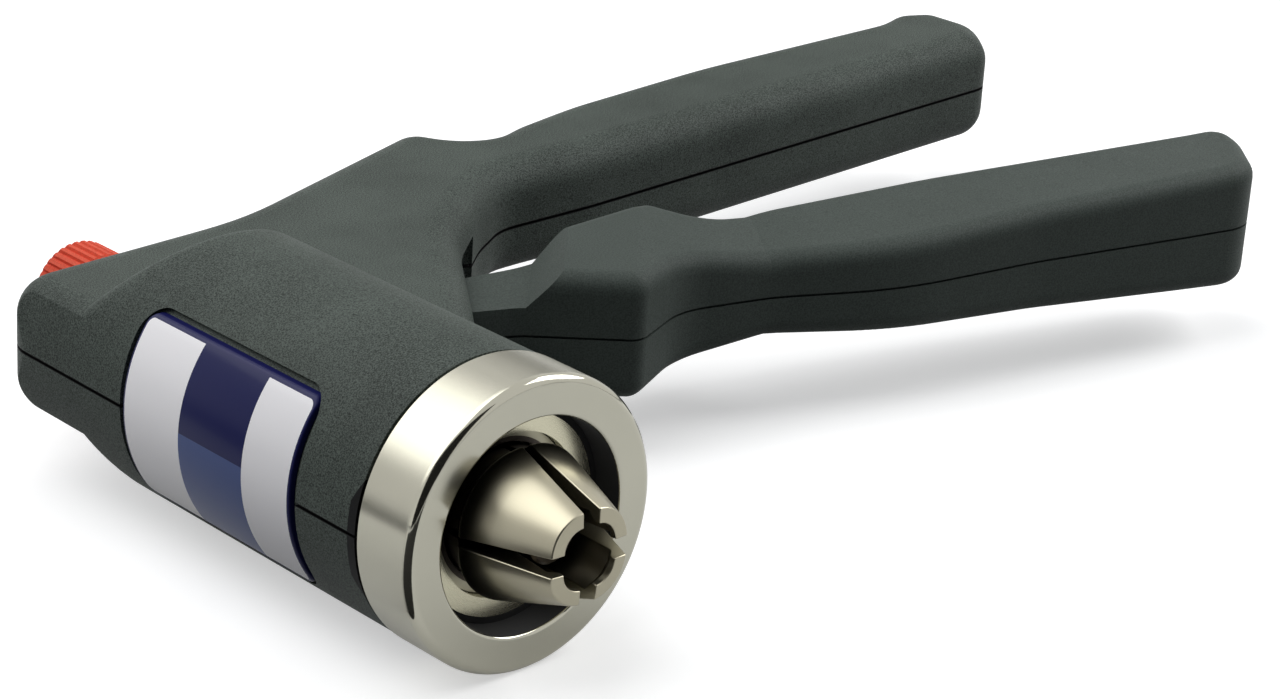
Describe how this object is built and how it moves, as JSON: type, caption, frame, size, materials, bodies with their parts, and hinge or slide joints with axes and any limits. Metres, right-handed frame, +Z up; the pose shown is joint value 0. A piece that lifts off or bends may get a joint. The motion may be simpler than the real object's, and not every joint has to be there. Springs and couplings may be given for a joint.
{
  "type": "vial crimper",
  "caption": "Hand crimper for vial caps: barrel with a steel nose ring and a split crimping jaw head, squeezed by two handles, with a screw adjuster at the rear.",
  "frame": {"origin": "on the barrel axis, at the middle of the nose ring's straight outside wall", "axes": "-Y out of the nose towards the vial, +X along the handles, +Z up with the tool lying on its side"},
  "size_m": [0.2193, 0.13, 0.0406],
  "materials": {
    "housing_plastic": "soft-touch moulded plastic, near-black grey-green, fine grain",
    "lever_plastic": "soft-touch moulded plastic, near-black grey-green, smoother than the barrel",
    "polished_steel": "turned stainless steel, finely brushed round the wall, bright at the rounded edge",
    "satin_steel": "satin nickel-coloured steel with a faint turned grain",
    "dark_steel": "blackened steel, half matt",
    "plain_steel": "machined steel",
    "bronze": "sintered bronze",
    "black_rubber": "black elastomer ring",
    "red_plastic": "red anodised-looking ribbed knob, half gloss",
    "label": "domed clear label with plain white and navy bands",
    "zinc_screw": "zinc-plated screw"
  },
  "bodies": {
    "housing": {"housing_upper": "housing_plastic", "housing_lower": "housing_plastic", "housing_screws": "zinc_screw", "label_plate": "label", "nose_ring": "polished_steel", "head_tube": "satin_steel", "jaw_collar": "dark_steel", "jaw_seat": "plain_steel", "jaw_ring": "black_rubber", "guide_bush": "bronze", "return_spring": "plain_steel", "adjuster_bush": "bronze", "retaining_ring": "plain_steel", "friction_ring": "black_rubber", "pivot_pin": "plain_steel"},
    "lever": {"lever_arm": "plain_steel", "pivot_bushes": "bronze", "lever_grip_upper": "lever_plastic", "lever_grip_lower": "lever_plastic", "lever_screws": "zinc_screw"},
    "sleeve": {"closing_sleeve": "plain_steel"},
    "knob": {"adjuster_knob": "red_plastic", "adjuster_spindle": "plain_steel", "knob_screw": "zinc_screw"},
    "anvil": {"anvil_rod": "plain_steel", "anvil_head": "dark_steel", "anvil_key_pin": "plain_steel"},
    "jaw_a": {"jaw_top_right": "satin_steel"},
    "jaw_b": {"jaw_top_left": "satin_steel"},
    "jaw_c": {"jaw_bottom_left": "satin_steel"},
    "jaw_d": {"jaw_bottom_right": "satin_steel"}
  },
  "joints": [
    {"name": "lever_squeeze", "type": "hinge", "parent": "housing", "child": "lever", "pos_m": [0.027, 0.05535, 0], "axis": [0, 0, 1], "range_deg": [0, 14], "stiffness_Nm_per_rad": 1.5, "springref_deg": -20.05},
    {"name": "sleeve_push", "type": "slide", "parent": "housing", "child": "sleeve", "axis": [0, -1, 0], "range_m": [0, 0.00673], "deforming": ["return_spring"]},
    {"name": "jaw_a_close", "type": "hinge", "parent": "housing", "child": "jaw_a", "pos_m": [0.00651, 0.00475, 0.00651], "axis": [0.7071, 0, -0.7071], "range_deg": [0, 4.51]},
    {"name": "jaw_b_close", "type": "hinge", "parent": "housing", "child": "jaw_b", "pos_m": [-0.00651, 0.00475, 0.00651], "axis": [0.7071, 0, 0.7071], "range_deg": [0, 4.51]},
    {"name": "jaw_c_close", "type": "hinge", "parent": "housing", "child": "jaw_c", "pos_m": [-0.00651, 0.00475, -0.00651], "axis": [-0.7071, 0, 0.7071], "range_deg": [0, 4.51]},
    {"name": "jaw_d_close", "type": "hinge", "parent": "housing", "child": "jaw_d", "pos_m": [0.00651, 0.00475, -0.00651], "axis": [-0.7071, 0, -0.7071], "range_deg": [0, 4.51]},
    {"name": "knob_turn", "type": "hinge", "parent": "housing", "child": "knob", "pos_m": [0, 0.09235, 0], "axis": [0, 1, 0], "range_deg": [-360, 360]},
    {"name": "anvil_travel", "type": "slide", "parent": "housing", "child": "anvil", "axis": [0, 1, 0], "range_m": [-0.001, 0.001]}
  ],
  "couplings": [
    {"joint": "sleeve_push", "follows": "lever_squeeze", "m_per_rad": 0.027135},
    {"joint": "jaw_a_close", "follows": "lever_squeeze", "ratio": 0.32143},
    {"joint": "jaw_b_close", "follows": "lever_squeeze", "ratio": 0.32143},
    {"joint": "jaw_c_close", "follows": "lever_squeeze", "ratio": 0.32143},
    {"joint": "jaw_d_close", "follows": "lever_squeeze", "ratio": 0.32143},
    {"joint": "knob_turn", "follows": "anvil_travel", "rad_per_m": 6283.2}
  ]
}
